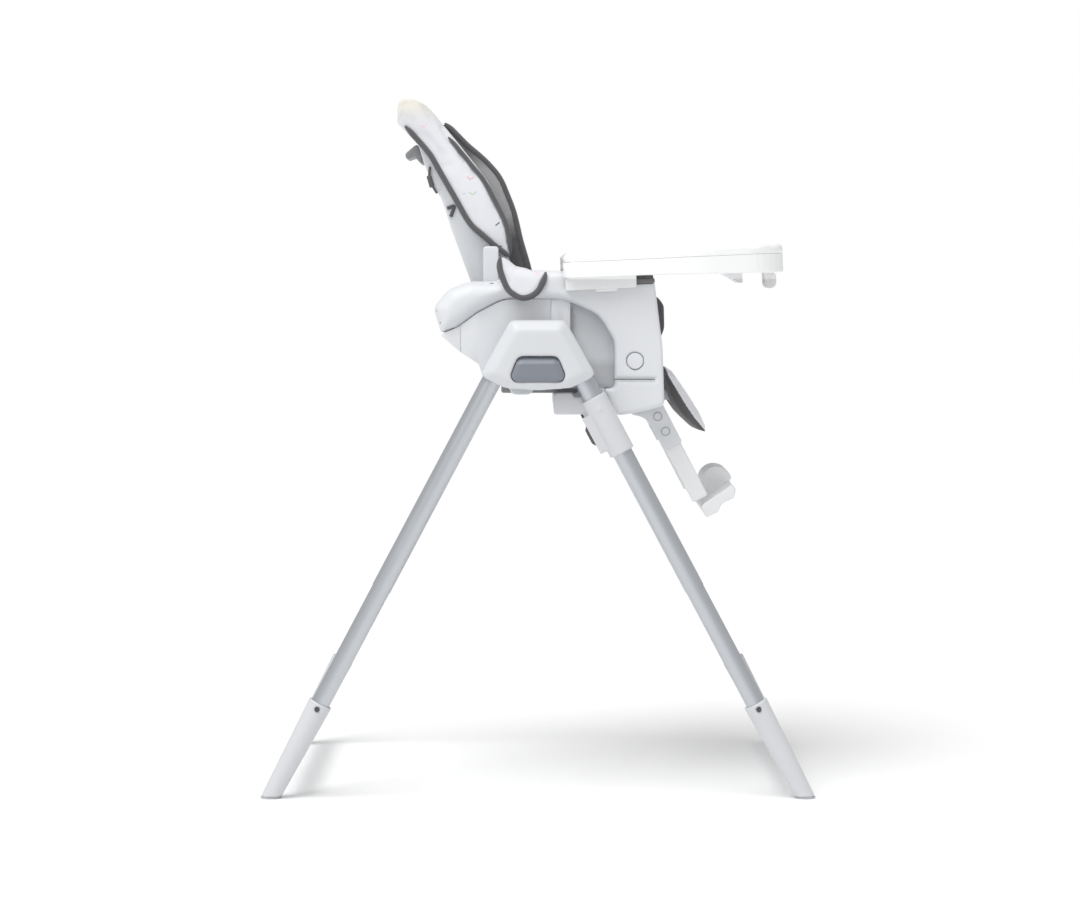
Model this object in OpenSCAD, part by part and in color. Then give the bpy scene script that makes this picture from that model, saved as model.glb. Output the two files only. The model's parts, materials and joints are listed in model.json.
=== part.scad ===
// Folding baby high chair with height-adjustable seat, reclining back, leg rest and sliding tray.
// Frame: +X forward, +Y the child's left, +Z up, origin on the floor below the middle of the frame.
// Left-hand pieces are drawn at +Y and right-hand pieces are their mirror images.

/* [Frame] */
// Height at which the axes of the front and rear legs would meet
apex_h = 762; // [720:1:800]
// Lean of each leg from the vertical, in degrees
leg_lean = 28; // [26:0.5:30]
// Distance of the leg tubes from the middle plane
leg_y = 268; // [260:1:280]
// Outer radius of the upper leg tubes
tube_r = 15; // [12:0.5:16]
// Wall of the leg and cross tubes
tube_wall = 1.5; // [1:0.1:2.5]
// Height of the joint between upper and lower leg tubes
seam_h = 318; // [280:1:340]
// Height of the top of the foot sleeves
foot_h = 145; // [120:1:170]
// Radius of a foot sleeve at its top
foot_top_r = 18.5; // [17.5:0.1:21]
// Radius of a foot sleeve at the floor
foot_low_r = 13.7; // [13:0.1:16]
// Thickness of the rubber sole pads
sole_t = 3; // [2:0.5:5]
// Height of the cross tubes
cross_h = 60; // [50:1:90]
// Outer radius of the cross tubes
cross_r = 12.5; // [10:0.5:13]
// Radius of the screws that hold the foot sleeves
screw_r = 3.5; // [2.5:0.5:4]

/* [Hubs] */
// Height of the top of the hubs
hub_top = 722; // [700:1:740]
// Height of the lower corners of the hubs
hub_low = 638; // [620:1:650]
// Drop of the middle of the hub's lower edge below its corners
hub_sag = 22; // [8:1:26]
// Half width of a hub at its top
hub_top_w = 41; // [38:1:46]
// Half width of a hub at its lower corners
hub_low_w = 88; // [86:1:94]
// Inner and outer side of the hubs, from the middle plane
hub_y = [238, 298]; // [230:1:310]
// Width of the bevelled border of a hub
hub_border = 15; // [8:1:18]
// Place of the rear leg's pivot: forward, up
fold_pivot = [-52, 660]; // [-60:1:670]
// Radius of the hinge pins
pin_r = 5; // [4:0.5:6]

/* [Seat] */
// Half width of the seat between its inner walls
seat_half = 160; // [150:1:165]
// Outer side of the armrest casings, from the middle plane
casing_y = 228; // [215:1:230]
// Outer side of the lower side panels, from the middle plane
panel_y = 215; // [200:1:222]
// Height of the top of the seat floor
floor_h = 629; // [625:1:635]
// Thickness of the moulded walls
wall = 3.5; // [2.5:0.5:5]
// Place of the recline hinge: forward, up
recline_pivot = [-27, 620]; // [-40:1:640]
// Place of the leg rest's hinge: forward, up
legrest_pivot = [168, 604]; // [150:1:620]
// Place of the round leg rest buttons: forward, up
side_button_at = [147, 660]; // [120:1:700]
// Radius of the round leg rest buttons
side_button_r = 12; // [9:0.5:15]

/* [Carriage] */
// Distance from the apex to the top of the carriage sleeves, along the leg
sleeve_top = 176; // [170:1:190]
// Length of the carriage sleeves
sleeve_len = 94; // [70:1:110]
// Outer radius of the carriage sleeves
sleeve_r = 19.5; // [18.5:0.5:21]

/* [Back] */
// Half width of the padded back
back_half = 152; // [140:1:154]
// Half width of the moulded back shell
shell_half = 130; // [110:1:140]

/* [Leg rest] */
// Lean of the leg rest from the vertical, in degrees
legrest_lean = 27.5; // [20:0.5:35]
// Width of the leg rest's arms, seen from the side
arm_w = 31; // [26:1:34]
// Inner and outer side of the arms, from the middle plane
arm_y = [132, 150]; // [120:1:155]
// Length of the upper arms below the hinge
arm_len = 88; // [80:1:100]

/* [Tray] */
// Length of the tray, front to back
tray_len = 339; // [320:1:360]
// Half width of the tray
tray_half = 262; // [245:1:270]
// Height of the tray's lower rear edge
tray_h = 784; // [780:1:800]
// Distance of the tray's rear edge in front of the frame's middle
tray_x = 38; // [36:1:60]
// Slope of the tray, front end up, in degrees
tray_tilt = 2.6; // [0:0.1:4]
// Thickness of the tray base
tray_base_t = 24; // [20:1:28]
// Thickness of the whole tray
tray_t = 38; // [34:1:44]
// How much deeper the tray is at its front end
tray_drop = 5.5; // [0:0.5:8]

/* [Hidden] */
$fn = 64;
plate_t = 4;
gap = 0.35;
fit_gap = 0.05;
lower_r = tube_r - 0.7;
screw_h = foot_h - 8;
floor_t = 5;
pan_wall = 5;
sole_cut = (415 * sin(leg_lean)) + apex_h * cos(leg_lean);
rear_tube_top = apex_h - 107;
hub_slope = (hub_low_w - hub_top_w) / (hub_top - hub_low);
hub_wall = 2.6;
hub_level = hub_y[1] - 12;
tray_pocket = 232;
tray_pocket_z = 15;
belly_r = 150;
belly_x = -60;
beam_x = [24, 70];
beam_top = 607;
calf_rod_r = 9;
board_half = 104;
pad_line_low = [-34, 640];
pad_line_top = [-192, 1046];

// ---- outlines ----------------------------------------------------------------------------

function unit(v) = v / norm(v);
function flat(p) = [p[0], p[1]];
function prev(list, i) = list[(i + len(list) - 1) % len(list)];
function next(list, i) = list[(i + 1) % len(list)];

// Arc that rounds the corner b between a and c with radius r.
function corner_arc(a, b, c, r, n) =
    let (u = unit(a - b))
    let (v = unit(c - b))
    let (half = acos(u * v) / 2)
    let (reach = min(r / tan(half), 0.49 * norm(a - b), 0.49 * norm(c - b)))
    let (centre = b + unit(u + v) * reach / cos(half))
    let (rim = b + u * reach - centre)
    let (last = b + v * reach - centre)
    let (a0 = atan2(rim[1], rim[0]))
    let (turn = (atan2(last[1], last[0]) - a0 + 540) % 360 - 180)
    [for (k = [0:n]) centre + norm(rim) * [cos(a0 + turn * k / n), sin(a0 + turn * k / n)]];

// Outline through corners [x, z, radius], each rounded by its own radius.
function rounded(corners, n = 8) =
    [for (i = [0:len(corners) - 1])
        let (a = flat(prev(corners, i)))
        let (b = flat(corners[i]))
        let (c = flat(next(corners, i)))
        each corners[i][2] == 0 ? [b] : corner_arc(a, b, c, corners[i][2], n)];

// The same corners moved inwards by d (corners run anticlockwise).
function inset(corners, d) =
    [for (i = [0:len(corners) - 1])
        let (b = flat(corners[i]))
        let (u = unit(b - flat(prev(corners, i))))
        let (v = unit(flat(next(corners, i)) - b))
        let (m = ([-u[1], u[0]] + [-v[1], v[0]]) * d / (1 + u * v))
        let (r = corners[i][2])
        [b[0] + m[0], b[1] + m[1], r == 0 ? 0 : (cross(u, v) > 0 ? max(r - d, 0.5) : r + d)]];

// ---- placing -----------------------------------------------------------------------------

// Extrudes an outline drawn as [forward, up] from y0 to y1.
module across(y0, y1) {
    translate([0, y1, 0]) rotate([90, 0, 0]) linear_extrude(height = y1 - y0) children();
}

module right_hand() {
    mirror([0, 1, 0]) children();
}

module both() {
    children();
    mirror([0, 1, 0]) children();
}

// Places its children in a leg's frame: origin at the apex, -Z down the leg's axis.
// dir is 1 for a front leg and -1 for a rear leg.
module on_leg(dir) {
    translate([0, leg_y, apex_h]) rotate([0, -dir * leg_lean, 0]) children();
}

// Distance from the apex along a leg to the height h.
function along(h) = (apex_h - h) / cos(leg_lean);

// Distance of a leg's axis from the frame's middle at the height h.
function leg_x(h) = (apex_h - h) * tan(leg_lean);

// A rod along Y at [forward, up] = at.
module cross_rod(at, r, y0, y1) {
    translate([at[0], y0, at[1]]) rotate([-90, 0, 0]) cylinder(r = r, h = y1 - y0);
}

module tube(r, from, to) {
    translate([0, 0, -to]) difference() {
        cylinder(r = r, h = to - from);
        translate([0, 0, -1]) cylinder(r = r - tube_wall, h = to - from + 2);
    }
}

module in_tray() {
    translate([tray_x, 0, tray_h]) rotate([0, -tray_tilt, 0]) children();
}

module in_legrest() {
    translate([legrest_pivot[0], 0, legrest_pivot[1]]) rotate([0, -legrest_lean, 0]) children();
}

// ---- legs and feet -----------------------------------------------------------------------

tube_colour = [0.73, 0.76, 0.79];
foot_colour = [0.85, 0.86, 0.87];
shell_colour = [0.88, 0.89, 0.90];
dark_colour = [0.38, 0.38, 0.39];
print_colour = [0.91, 0.91, 0.92];

module front_leg_upper() {
    color(tube_colour) on_leg(1) tube(tube_r, along(700), along(seam_h));
}

module leg_lower(dir) {
    color(tube_colour) on_leg(dir) tube(lower_r, along(seam_h), along(95));
}

// Solid foot, before the floor cuts it; its lower outer corner is chopped square to the leg.
module foot_blank(dir) {
    top = along(foot_h);
    on_leg(dir) translate([0, 0, -sole_cut])
        cylinder(r1 = foot_low_r, r2 = foot_top_r, h = sole_cut - top);
}

module foot(dir) {
    color(foot_colour) difference() {
        foot_blank(dir);
        on_leg(dir) translate([0, 0, -along(95)]) cylinder(r = lower_r, h = 100);
        cross_rod([dir * leg_x(cross_h), cross_h], cross_r, 200, 260);
        cross_rod([dir * leg_x(screw_h), screw_h], screw_r + 0.1, leg_y + 10, leg_y + 30);
        translate([-600, 0, sole_t - 100]) cube([1200, 400, 100]);
    }
}

module sole_pads(dir) {
    color(dark_colour) both() intersection() {
        foot_blank(dir);
        translate([-600, 0, 0]) cube([1200, 400, sole_t]);
    }
}

module foot_screws(dir) {
    color(dark_colour) both()
        cross_rod([dir * leg_x(screw_h), screw_h], screw_r, leg_y + tube_r, leg_y + foot_top_r + 1);
}

module crossbar(dir) {
    at = [dir * leg_x(cross_h), cross_h];
    color(tube_colour) difference() {
        cross_rod(at, cross_r, -260, 260);
        cross_rod(at, cross_r - tube_wall, -261, 261);
    }
}

module rear_leg_upper() {
    color(tube_colour) difference() {
        union() {
            on_leg(-1) tube(tube_r, along(rear_tube_top), along(seam_h));
            cross_rod(fold_pivot, tube_r, leg_y - tube_r, leg_y + tube_r);
        }
        cross_rod(fold_pivot, pin_r + fit_gap, leg_y - tube_r - 1, leg_y + tube_r + 1);
    }
}

// ---- hubs --------------------------------------------------------------------------------

hub_corners = [[-hub_low_w, hub_low, 9], [-50, hub_low - hub_sag * 0.85, 40],
    [0, hub_low - hub_sag, 60], [50, hub_low - hub_sag * 0.85, 40], [hub_low_w, hub_low, 9],
    [hub_top_w, hub_top, 12], [-hub_top_w, hub_top, 12]];
button_corners = [[-44, 631, 9], [44, 631, 9], [29, 668, 10], [-29, 668, 10]];

// Half width of the hub's hollow at the height h, with its side walls m thick.
function hollow_w(h, m) = hub_top_w + (hub_top - h) * hub_slope - m / cos(atan(hub_slope));

module hub_hollow(m, low) {
    top = hub_top - m;
    polygon([[-hollow_w(low, m), low], [hollow_w(low, m), low], [hollow_w(top, m), top],
        [-hollow_w(top, m), top]]);
}

module hub_cover() {
    inner = hub_y[0] + plate_t;
    color(shell_colour) difference() {
        hull() {
            across(inner, hub_level) polygon(rounded(hub_corners));
            across(inner, hub_y[1]) polygon(rounded(inset(hub_corners, hub_border)));
        }
        across(inner - 1, hub_level - 2) hub_hollow(hub_wall, hub_low - 60);
        across(inner - 1, hub_y[1] - 8) hub_hollow(hub_border - 2, hub_low + 6);
        across(inner - 1, hub_y[1] - 8) polygon(rounded(inset(button_corners, -3)));
        across(inner, hub_y[1] + 5) polygon(rounded(inset(button_corners, -0.6)));
    }
}

module hub_inner_plates() {
    color(shell_colour) both() across(hub_y[0], hub_y[0] + plate_t) polygon(rounded(hub_corners));
}

module hub_screws() {
    color(dark_colour) both() for (at = [[0, 705], [-58, 645], [58, 645]])
        cross_rod(at, 4.5, hub_y[0] - 1.4, hub_y[0]);
}

module fold_pivot_pins() {
    color(tube_colour) both() cross_rod(fold_pivot, pin_r, hub_y[0] + plate_t, hub_level - 2);
}

module fold_button() {
    color([0.55, 0.57, 0.60]) union() {
        hull() {
            across(hub_y[1] - 8, hub_y[1] - 1) polygon(rounded(button_corners));
            across(hub_y[1] - 1, hub_y[1] + 2) polygon(rounded(inset(button_corners, 7)));
        }
        across(hub_y[1] - 10, hub_y[1] - 8.5) polygon(rounded(inset(button_corners, -1.5)));
        across(hub_y[1] - 8.6, hub_y[1] - 7.9) polygon(rounded(inset(button_corners, 2)));
    }
}

// ---- seat --------------------------------------------------------------------------------

// Armrest and front post of one side, around the arch over the lower panel.
casing_corners = [[-147, 701, 4], [-122, 710, 30], [-92, 732, 60], [-52, 753, 60], [40, 753, 60],
    [92, 730, 50], [116, 690, 40], [116, 618, 5], [99, 618, 3], [120, 577, 3], [132, 578, 12],
    [163, 584, 20], [192, 592, 8],
    [189, 680, 90], [175, 792, 9], [-22, 797.5, 40], [-64, 780, 40], [-104, 780, 40],
    [-136, 768, 40], [-159, 740, 18]];
panel_corners = [[-147, 698, 3], [-118, 673, 20], [-90, 655, 8], [-80, 624, 8], [120, 618.5, 0],
    [120, 770, 0], [-90, 770, 0]];
pan_corners = [[-118, 716, 10], [-60, 640, 20], [-48, 616, 6], [112, 616, 10], [124, 600, 6],
    [178, 600, 4], [178, 786, 8], [-20, 790, 20], [-60, 780, 4], [-60, 834, 5], [-84, 834, 5],
    [-84, 770, 6], [-110, 768, 12]];

module seat_side() {
    color(shell_colour) difference() {
        across(seat_half + pan_wall, casing_y) polygon(rounded(casing_corners, 10));
        across(seat_half, casing_y - wall) polygon(rounded(inset(casing_corners, wall), 10));
        cross_rod(side_button_at, side_button_r + 0.6, seat_half, casing_y + 1);
        translate([114, casing_y - 1, 631.2]) cube([64, 3, 1.4]);
    }
}

module side_panel() {
    color(shell_colour) difference() {
        across(panel_y - 20, panel_y) difference() {
            polygon(rounded(panel_corners));
            polygon(rounded(casing_corners, 10));
        }
        across(panel_y - 21, panel_y - wall) polygon(rounded(inset(panel_corners, wall + 6)));
        for (x = [-118, 19]) translate([x, panel_y - 1.2, 600]) cube([1.6, 5, 200]);
        translate([49, panel_y - 12, 600]) cube([90, 30, 200]);
    }
    color(shell_colour) across(panel_y - 20, panel_y - 14) difference() {
        intersection() {
            polygon(rounded(panel_corners));
            translate([46, 600]) square([90, 200]);
        }
        polygon(rounded(casing_corners, 10));
    }
}

module seat_pan() {
    color(shell_colour) difference() {
        union() {
            translate([-8, -seat_half, floor_h - floor_t]) cube([186, 2 * seat_half, floor_t]);
            both() across(seat_half, seat_half + pan_wall) polygon(rounded(pan_corners));
            both() across(arm_y[1] + 1.5, seat_half + 1)
                polygon(rounded([[152, 592, 10], [182, 592, 10], [182, 626, 0], [152, 626, 0]]));
            both() across(arm_y[1] + 4, seat_half + pan_wall)
                polygon(rounded([[-42, 606, 10], [-12, 606, 10], [2, 626, 0], [-46, 632, 4]]));
        }
        cross_rod(recline_pivot, pin_r, -seat_half - 1, seat_half + 1);
        cross_rod(legrest_pivot, pin_r, -seat_half - 1, seat_half + 1);
        translate([beam_x[0], -200, 590]) cube([beam_x[1] - beam_x[0], 400, beam_top - 590]);
    }
}

module recline_pin() {
    color(tube_colour) cross_rod(recline_pivot, pin_r, -seat_half, seat_half);
}

module legrest_pin() {
    color(tube_colour) cross_rod(legrest_pivot, pin_r, -seat_half, seat_half);
}

module recline_bracket() {
    color(dark_colour) difference() {
        across(-110, 110)
            polygon(rounded([[-57, beam_top, 4], [62, beam_top, 4], [62, floor_h - floor_t, 0],
                [2, floor_h - floor_t, 0], [-4, 621, 2], [-57, 621, 4]]));
        across(-106, 106) polygon([[-53, 600], [58, 600], [58, 618], [-53, 618]]);
        cross_rod(recline_pivot, pin_r + fit_gap, -111, 111);
    }
}

module crotch_post() {
    color(dark_colour) across(-20, 20)
        polygon(rounded([[156, floor_h, 0], [178, floor_h, 0], [179, 662, 20], [200, 704, 30],
            [199, 742, 14], [187, 758, 10], [170, 752, 10], [160, 690, 60]]));
}

module seat_cushion() {
    color(print_colour) difference() {
        across(-148, 148)
            polygon(rounded([[14, floor_h + 0.4, 5], [177, floor_h + 0.4, 5], [177, 652, 10],
                [14, 652, 10]]));
        translate([153, -22, 600]) cube([40, 44, 100]);
    }
}

// Fabric wing that folds over the armrest beside the child's hip.
module hip_wing() {
    flap = [[-60, 800, 6], [-46, 764, 14], [-22, 750, 14], [2, 762, 16], [16, 796, 4], [-34, 800, 30],
        [-60, 824, 5]];
    color(print_colour) difference() {
        across(seat_half - 7, casing_y + 4.5) polygon(rounded(flap));
        across(seat_half - 0.4, casing_y + 0.4) polygon(rounded(inset(casing_corners, -0.6), 10));
        across(seat_half - 0.4, seat_half + pan_wall + 2) translate([-70, 700]) square([100, 98.5]);
        across(seat_half - 0.4, casing_y + 0.4) translate([-70, 740]) square([100, 30]);
    }
}

module lap_harness() {
    color(dark_colour) {
        both() translate([82, 22, 652.3]) cube([25, 126, 2.4]);
        translate([130.5, -12, 652.3]) cube([25, 24, 2.4]);
    }
}

module buckle() {
    color(dark_colour) difference() {
        translate([0, 0, 652.3]) linear_extrude(height = 14)
            polygon(rounded([[66, -21, 8], [130, -15, 6], [130, 15, 6], [66, 21, 8]]));
        translate([90, 0, 660]) cylinder(r = 9.5, h = 20);
    }
}

module buckle_button() {
    color([0.55, 0.57, 0.60]) translate([90, 0, 663]) cylinder(r = 9, h = 4.5);
}

module legrest_button() {
    color(shell_colour) union() {
        cross_rod(side_button_at, side_button_r, casing_y - 6, casing_y + 1.5);
        cross_rod(side_button_at, side_button_r + 3, casing_y - 6.5, casing_y - wall - 0.4);
    }
}

// Ribs that the tray's side channels run on.
module tray_rails() {
    color(shell_colour) both() in_tray() {
        translate([26, casing_y, -12]) cube([112, 5, 6]);
        translate([108, casing_y, -14]) cube([28, 0.7, 16]);
    }
}

// ---- carriage ----------------------------------------------------------------------------

module carriage() {
    mid = sleeve_top + sleeve_len / 2;
    color(foot_colour) difference() {
        union() {
            on_leg(1) translate([0, 0, -sleeve_top - sleeve_len]) cylinder(r = sleeve_r, h = sleeve_len);
            on_leg(1) translate([-30, -10, -mid - 34]) cube([20, 20, 60]);
            across(casing_y + 8, leg_y - 6)
                polygon(rounded([[24, 580, 3], [96, 580, 0], [88, 607, 0], [53, 607, 0], [53, 613, 2],
                    [26, 613, 2], [24, 607, 3]]));
        }
        on_leg(1) translate([0, 0, -sleeve_top - sleeve_len - 1])
            cylinder(r = tube_r + gap, h = sleeve_len + 24);
        on_leg(1) translate([-31, -7, -mid - 28]) cube([12, 14, 48]);
    }
    color(dark_colour) on_leg(1) translate([0, sleeve_r - 0.6, -sleeve_top - 20]) rotate([-90, 0, 0])
        cylinder(r = 3.5, h = 1.6);
}

module carriage_beam() {
    end = casing_y + 8;
    color(shell_colour) difference() {
        across(-end, end) polygon(rounded([[beam_x[0], 580, 3], [beam_x[1], 580, 3], [beam_x[1], beam_top, 0],
            [beam_x[0], beam_top, 0]]));
        across(-end + 4, end - 4) translate([beam_x[0] + 4, 570])
            square([beam_x[1] - beam_x[0] - 8, beam_top - 574]);
    }
}

module height_trigger() {
    mid = sleeve_top + sleeve_len / 2;
    color(dark_colour) on_leg(1) translate([0, 6, -mid]) rotate([90, 0, 0]) linear_extrude(height = 12)
        polygon(rounded([[-34, -14, 4], [-24.5, -27, 2], [-24.5, 19, 2], [-34, 8, 4]]));
}

// ---- back --------------------------------------------------------------------------------

// Point at the height z on the plane between shell and pad, moved forward by f.
function pad_at(z, f) =
    [pad_line_low[0] + (z - pad_line_low[1]) * (pad_line_top[0] - pad_line_low[0]) /
        (pad_line_top[1] - pad_line_low[1]) + f, z];

wing_corners = [[-38, 814, 3], [-42, 866, 90], [-78, 934, 120], [-160, 1034, 60], [-186, 1064, 24],
    [-224, 1064, 18], [-222, 1034, 14], [-168, 976, 90], [-104, 864, 60], [-66, 832, 30]];
insert_corners = [[6, 690, 14], [-12, 801, 60], [-25, 845, 80], [-37, 893, 80], [-57, 941, 60],
    [-80, 967, 60], [-112, 995, 80], [-143, 1027, 8]];

// The same point as a sharp corner of an outline.
function pad_corner(z, f) = concat(pad_at(z, f), [0]);

// Everything in front of the pad plane moved forward by f, between two heights.
module before_pad(f, low, top) {
    polygon([pad_at(low, f), [200, low], [200, top], pad_at(top, f)]);
}

module backrest_shell() {
    corners = [[-64, 652, 8], [-48, 652, 8], pad_corner(690, -0.5), pad_corner(1030, -0.5),
        [-196, 1030, 6], [-176, 962, 20], [-164, 934, 20], [-148, 906, 30], [-134, 862, 60],
        [-104, 780, 60]];
    ear = [[-36, 610, 8], [-18, 610, 8], [-20, 644, 10], pad_corner(668, -0.5),
        pad_corner(744, -0.5), [-92, 740, 10], [-50, 652, 20]];
    cheek = [pad_corner(690, -3), [-42, 684, 6], [-60, 826, 4], [-98, 880, 0], [-162, 992, 0],
        pad_corner(1006, -3)];
    color(shell_colour) difference() {
        union() {
            across(-shell_half, shell_half) polygon(rounded(corners));
            both() across(118, 148) polygon(rounded(ear));
            both() cross_rod(recline_pivot, 11, 118, 148);
            both() across(shell_half - wall, shell_half) difference() {
                polygon(rounded(cheek));
                polygon(rounded(inset(wing_corners, -0.5)));
            }
        }
        translate([wall + 0.7, 0, 0]) across(-shell_half + wall, shell_half - wall)
            polygon(rounded(inset(corners, wall)));
        both() cross_rod(recline_pivot, pin_r + fit_gap, 100, 150);
        translate([-230, -17, 962]) cube([70, 34, 36]);
    }
}

module back_pad() {
    color(print_colour) difference() {
        union() {
            across(-back_half, back_half) polygon(rounded(wing_corners));
            across(wall - shell_half + 0.5, shell_half - wall - 0.5)
                polygon(rounded([[2, 668, 10], [-36, 820, 20], [-70, 836, 4], pad_corner(800, 0.5),
                    pad_corner(672, 0.5)]));
        }
        across(-shell_half - 0.6, shell_half + 0.6)
            polygon([[-300, 600], pad_at(600, 0.5), pad_at(1010, 0.5), [-300, 1010]]);
        across(-shell_half - 0.6, shell_half + 0.6)
            polygon([[-190.5, 1009], pad_at(1009, 0.5), pad_at(1030.6, 0.5), [-196.8, 1030.6]]);
        across(-118, 118) before_pad(22, 640, 1028);
    }
}

module back_insert() {
    color(dark_colour) difference() {
        across(-117.5, 117.5) intersection() {
            polygon(rounded(concat(insert_corners, [[-190, 1012, 4], [-60, 690, 0]])));
            before_pad(22.5, 600, 1100);
        }
        across(-86, 86) before_pad(36, 640, 1100);
    }
}

module shoulder_straps() {
    color(dark_colour) both() across(38, 64)
        polygon([pad_at(704, 36.4), pad_at(704, 39.4), pad_at(970, 39.4), pad_at(970, 36.4)]);
}

module recline_handle() {
    color(foot_colour) {
        across(-45, 45) polygon(rounded([[-178.5, 964, 1], [-187, 992, 3], [-191, 994, 2], [-209, 979, 5],
            [-206, 970, 3], [-193, 975, 3], [-184, 964, 1]]));
        across(-15, 15) polygon([[-184, 970], [-173, 970], [-175, 986], [-188, 986]]);
    }
}

// ---- leg rest ----------------------------------------------------------------------------

module legrest_frame() {
    half = arm_w / 2;
    color(shell_colour) difference() {
        union() {
            both() in_legrest() across(arm_y[0], arm_y[1])
                polygon(rounded([[-half, -arm_len, 2], [half, -arm_len, 2], [half, 0, 4], [-half, 0, 4]]));
            both() cross_rod(legrest_pivot, half, arm_y[0], arm_y[1]);
            both() across(arm_y[0] + 0.7, arm_y[1] - 0.7) polygon(rounded([[143, 590, 2], [144, 574.5, 4],
                [163, 571, 30], [177, 555, 20], [184, 538, 0], [190, 556, 0], [172, 590, 0]]));
            in_legrest() cross_rod([0, -30], calf_rod_r, -arm_y[0], arm_y[0]);
            both() in_legrest() for (z = [-36, -62]) cross_rod([0, z], 6.5, arm_y[1] - 1, arm_y[1] + 0.8);
        }
        both() cross_rod(legrest_pivot, pin_r + fit_gap, 100, 155);
        both() in_legrest() translate([-13.6, arm_y[0] + 2, -arm_len - 1]) cube([27.2, 14, arm_len - 21]);
    }
}

board_corners = [[172, 583, 2], [190, 583, 2], [198, 601, 6], [244, 555, 2], [248, 558, 2],
    [203, 611, 5], [195, 611, 5], [184, 597, 4], [172, 592, 2]];

module calf_board() {
    color(shell_colour) difference() {
        across(-board_half, board_half) polygon(rounded(board_corners));
        in_legrest() cross_rod([0, -30], calf_rod_r + fit_gap, -arm_y[0], arm_y[0]);
    }
}

module calf_pad() {
    color(dark_colour) difference() {
        across(-140, 140) polygon(rounded([[202, 603, 3], [219, 575, 30], [241, 554, 30], [262, 545, 2],
            [252, 575, 40], [234, 603, 40], [220, 620, 8], [205, 620, 4]]));
        across(-board_half - 0.5, board_half + 0.5) polygon(rounded(inset(board_corners, -0.4)));
    }
}

module footrest() {
    plate = [[252, 431, 3], [260, 415, 3], [278, 424, 6], [284, 437, 6], [303, 446, 4], [306, 460, 3],
        [300, 467, 3], [257, 438, 3]];
    color(foot_colour) {
        both() in_legrest() translate([-13, arm_y[0] + 2.5, -180]) cube([26, 13, 105]);
        across(-arm_y[1] + 2.5, arm_y[1] - 2.5) polygon(rounded(plate));
        across(-48, 48) intersection() {
            translate([281, 464]) circle(r = 25);
            polygon([[240, 426], [310, 472], [310, 520], [240, 520]]);
        }
    }
}

// ---- tray --------------------------------------------------------------------------------

tray_corners = [[0, -tray_half, 26], [tray_len * 0.6, -tray_half, 200], [tray_len, -tray_half + 50, 90],
    [tray_len, tray_half - 50, 90], [tray_len * 0.6, tray_half, 200], [0, tray_half, 26]];

// Plan of the tray moved inwards by d, with the hollow for the child's body.
module tray_plan(d) {
    difference() {
        polygon(rounded(inset(tray_corners, d)));
        translate([belly_x, 0]) circle(r = belly_r + d);
    }
}

module tray_base() {
    color("white") in_tray() {
        difference() {
            intersection() {
                translate([0, 0, -10]) linear_extrude(height = tray_base_t + 10) tray_plan(0);
                across(-tray_half - 1, tray_half + 1) polygon([[-1, 0], [120, 0], [tray_len + 1, -tray_drop],
                    [tray_len + 1, tray_base_t], [-1, tray_base_t]]);
            }
            translate([0, 0, tray_pocket_z + 3]) linear_extrude(height = 20) tray_plan(12);
            translate([-1, -tray_pocket, -1]) cube([155, 2 * tray_pocket, tray_pocket_z + 1]);
            intersection() {
                translate([0, 0, -10]) linear_extrude(height = tray_pocket_z + 10) tray_plan(5);
                translate([150, -tray_half, -12]) cube([tray_len, 2 * tray_half, 50]);
            }
        }
        both() difference() {
            translate([3, casing_y + 1, -18]) cube([107, 18, 18.5]);
            translate([0, casing_y, -13]) cube([112, 6, 8]);
        }
        both() translate([48, casing_y + 6, -22]) cube([33, 12, 4.5]);
        across(-45, 45) polygon([[247, 0.5], [283, 0.5], [283, -19], [277, -19]]);
        both() translate([248, 12, -1]) cube([26, 6, 17]);
    }
}

module tray_top() {
    color("white") in_tray() difference() {
        union() {
            translate([0, 0, tray_base_t + 0.3])
                linear_extrude(height = tray_t - tray_base_t - 0.3) tray_plan(0);
            translate([0, 0, tray_pocket_z + 3.4]) linear_extrude(height = 12) tray_plan(14);
        }
        translate([0, 0, tray_pocket_z + 6.4]) linear_extrude(height = 40) tray_plan(17);
    }
}

module tray_latch() {
    color("white") in_tray() {
        translate([284, -28, 2]) cube([46, 56, 5]);
        across(-22, 22) polygon(rounded([[318, -30, 8], [338, -30, 8], [338, -7.5, 1], [332, -6, 0],
            [332, 4, 0], [318, 4, 0]]));
    }
}

// ---- assembly ----------------------------------------------------------------------------

front_leg_upper();  // front_leg_upper_left
right_hand() front_leg_upper();  // front_leg_upper_right
leg_lower(1);  // front_leg_lower_left
right_hand() leg_lower(1);  // front_leg_lower_right
foot(1);  // front_foot_left
right_hand() foot(1);  // front_foot_right
crossbar(1);  // front_crossbar
sole_pads(1);  // front_sole_pads
foot_screws(1);  // front_foot_screws
hub_cover();  // hub_cover_left
right_hand() hub_cover();  // hub_cover_right
hub_inner_plates();
hub_screws();
fold_pivot_pins();
rear_leg_upper();  // rear_leg_upper_left
right_hand() rear_leg_upper();  // rear_leg_upper_right
leg_lower(-1);  // rear_leg_lower_left
right_hand() leg_lower(-1);  // rear_leg_lower_right
foot(-1);  // rear_foot_left
right_hand() foot(-1);  // rear_foot_right
crossbar(-1);  // rear_crossbar
sole_pads(-1);  // rear_sole_pads
foot_screws(-1);  // rear_foot_screws
fold_button();  // fold_button_left
right_hand() fold_button();  // fold_button_right
seat_pan();
seat_side();  // seat_side_left
right_hand() seat_side();  // seat_side_right
side_panel();  // side_panel_left
right_hand() side_panel();  // side_panel_right
carriage();  // carriage_left
right_hand() carriage();  // carriage_right
carriage_beam();
recline_bracket();
crotch_post();
seat_cushion();
hip_wing();  // hip_wing_left
right_hand() hip_wing();  // hip_wing_right
lap_harness();
buckle();
buckle_button();
recline_pin();
legrest_pin();
tray_rails();
height_trigger();  // height_trigger_left
right_hand() height_trigger();  // height_trigger_right
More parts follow.
